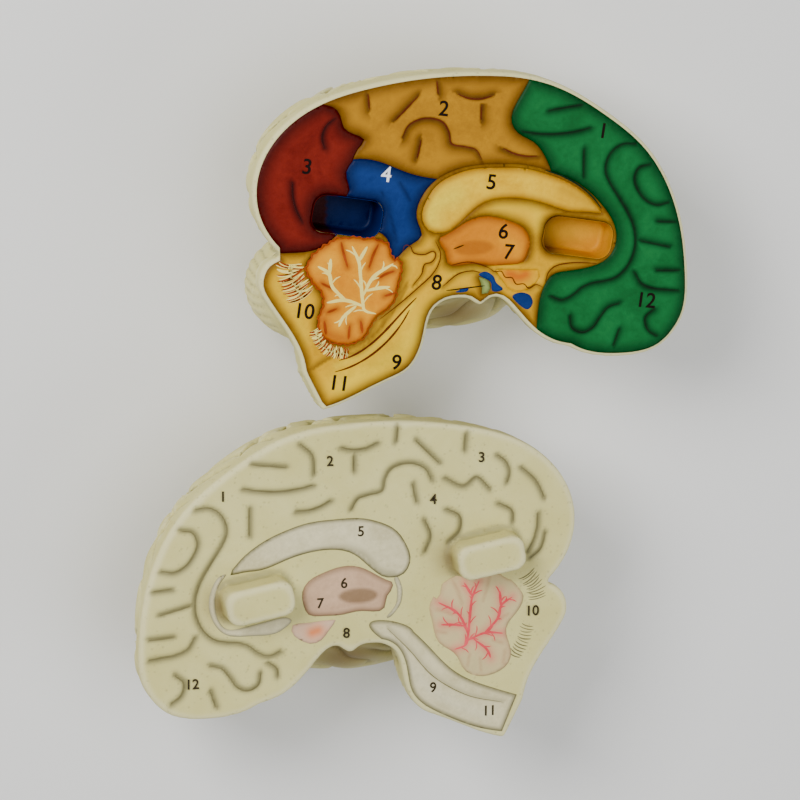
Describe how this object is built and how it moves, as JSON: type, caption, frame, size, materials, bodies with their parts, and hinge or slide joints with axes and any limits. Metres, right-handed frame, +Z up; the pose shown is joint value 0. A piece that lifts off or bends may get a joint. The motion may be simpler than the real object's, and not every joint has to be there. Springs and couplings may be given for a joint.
{
  "type": "brain anatomy model",
  "caption": "Soft foam brain model cut down its middle: two halves that plug together, with a coloured and a cream cut face, shown apart and face up.",
  "frame": {"origin": "centre of the bounding box of the pair, at the surface that both halves rest on", "axes": "+X towards the forehead of the coloured half, +Y towards the crown, +Z up, out of the cut faces"},
  "size_m": [0.1818, 0.2198, 0.0645],
  "materials": {
    "cream_foam": "soft integral-skin foam, matte",
    "yellow_print": "satin print on foam",
    "green_print": "satin print on foam",
    "red_print": "satin print on foam",
    "blue_print": "satin print on foam",
    "ochre_print": "satin print on foam",
    "pale_yellow_print": "satin print on foam",
    "orange_print": "satin print on foam",
    "grey_green_print": "satin print on foam",
    "brown_line_print": "satin print on foam",
    "cream_line_print": "satin print on foam",
    "white_print": "satin print on foam",
    "pink_print": "satin print on foam",
    "pink_line_print": "satin print on foam",
    "grey_line_print": "satin print on foam"
  },
  "bodies": {
    "root": {"coloured_half_foam": "cream_foam", "cream_half_foam": "cream_foam", "coloured_core_print": "yellow_print", "coloured_frontal_print": "green_print", "coloured_occipital_print": "red_print", "coloured_temporal_print": "blue_print", "coloured_parietal_print": "ochre_print", "coloured_callosum_print": "pale_yellow_print", "coloured_thalamus_print": "orange_print", "coloured_hypothalamus_print": "orange_print", "coloured_pituitary_print": "grey_green_print", "coloured_cerebellum_print": "orange_print", "coloured_arbor_vitae_lines": "cream_line_print", "coloured_brainstem_bands": "brown_line_print", "coloured_sulcus_lines": "brown_line_print", "cream_callosum_print": "white_print", "cream_thalamus_print": "pink_print", "cream_hypothalamus_print": "pink_print", "cream_cerebellum_print": "pink_print", "cream_brainstem_print": "white_print", "cream_arbor_vitae_lines": "pink_line_print", "cream_sulcus_lines": "grey_line_print"}
  },
  "joints": []
}
